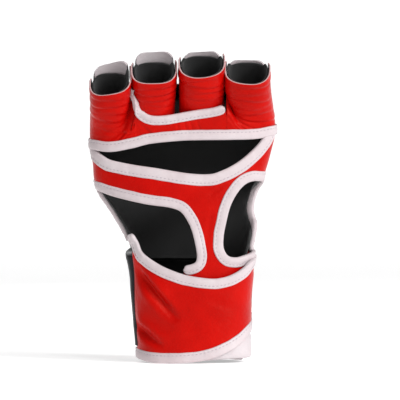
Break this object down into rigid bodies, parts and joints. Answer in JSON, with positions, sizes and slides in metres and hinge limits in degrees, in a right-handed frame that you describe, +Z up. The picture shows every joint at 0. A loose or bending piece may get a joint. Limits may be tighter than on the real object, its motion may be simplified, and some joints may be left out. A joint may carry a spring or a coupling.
{
  "type": "mma glove",
  "caption": "Open-finger grappling glove for a right hand, with padded finger backs and knuckles, cut-out palm, bare thumb hole and a hook-and-loop wrist strap.",
  "frame": {"origin": "Centre of the bounding box in plan, at the bottom edge of the cuff", "axes": "+Z up from cuff to fingertips, palm faces -Y, thumb side is +X"},
  "size_m": [0.1132, 0.0664, 0.1875],
  "materials": {
    "red_leather": "smooth semi-gloss leather with a fine grain",
    "white_leather": "smooth satin leather",
    "white_tape": "folded edge tape with one row of stitches",
    "black_leather": "satin leather",
    "black_lining": "matt woven lining",
    "pad_foam": "closed-cell foam, hidden inside the pads",
    "hook_and_loop": "hook-and-loop fastener"
  },
  "bodies": {
    "hand": {"back_panel": "black_leather", "back_lining": "black_lining", "back_edge_tape": "white_tape", "knuckle_pad_cover": "white_leather", "knuckle_pad_foam": "pad_foam", "palm_strap_upper": "red_leather", "upper_top_tape": "white_tape", "upper_bottom_tape": "white_tape", "palm_panel_mid": "red_leather", "mid_top_tape": "white_tape", "palm_hole_tape": "white_tape", "thumb_hole_tape": "white_tape", "cuff_back": "black_leather", "cuff_bottom_tape": "white_tape", "cuff_underlap": "white_leather", "loop_patch": "hook_and_loop"},
    "strap": {"wrist_strap": "red_leather", "wrist_strap_lining": "black_lining", "strap_top_tape": "white_tape", "strap_bottom_tape": "white_tape"},
    "tab": {"tab_panel": "red_leather", "tab_edge_tape": "white_tape", "hook_patch": "hook_and_loop"},
    "little_finger": {"little_loop": "red_leather", "little_lining": "black_lining", "little_pad_cover": "white_leather", "little_pad_foam": "pad_foam"},
    "ring_finger": {"ring_loop": "red_leather", "ring_lining": "black_lining", "ring_pad_cover": "white_leather", "ring_pad_foam": "pad_foam"},
    "middle_finger": {"middle_loop": "red_leather", "middle_lining": "black_lining", "middle_pad_cover": "white_leather", "middle_pad_foam": "pad_foam"},
    "index_finger": {"index_loop": "red_leather", "index_lining": "black_lining", "index_pad_cover": "white_leather", "index_pad_foam": "pad_foam"}
  },
  "joints": [
    {"name": "little_knuckle", "type": "hinge", "parent": "hand", "child": "little_finger", "pos_m": [-0.04326, 0.00609, 0.133], "axis": [1, 0, 0], "range_deg": [-30, 20], "stiffness_Nm_per_rad": 0.1},
    {"name": "ring_knuckle", "type": "hinge", "parent": "hand", "child": "ring_finger", "pos_m": [-0.01766, 0.00609, 0.138], "axis": [1, 0, 0], "range_deg": [-30, 20], "stiffness_Nm_per_rad": 0.1},
    {"name": "middle_knuckle", "type": "hinge", "parent": "hand", "child": "middle_finger", "pos_m": [0.01134, 0.00609, 0.14], "axis": [1, 0, 0], "range_deg": [-30, 20], "stiffness_Nm_per_rad": 0.1},
    {"name": "index_knuckle", "type": "hinge", "parent": "hand", "child": "index_finger", "pos_m": [0.04034, 0.00609, 0.138], "axis": [1, 0, 0], "range_deg": [-30, 20], "stiffness_Nm_per_rad": 0.1},
    {"name": "tab_peel", "type": "hinge", "parent": "strap", "child": "tab", "pos_m": [0.0426, 0.00209, 0.03], "axis": [0, 0, -1], "range_deg": [0, 150]},
    {"name": "strap_swing", "type": "hinge", "parent": "hand", "child": "strap", "pos_m": [-0.0316, 0.00209, 0.03], "axis": [0.11, 0, -0.9939], "range_deg": [0, 60]}
  ],
  "couplings": [
    {"joint": "strap_swing", "follows": "tab_peel", "ratio": 0.4}
  ]
}
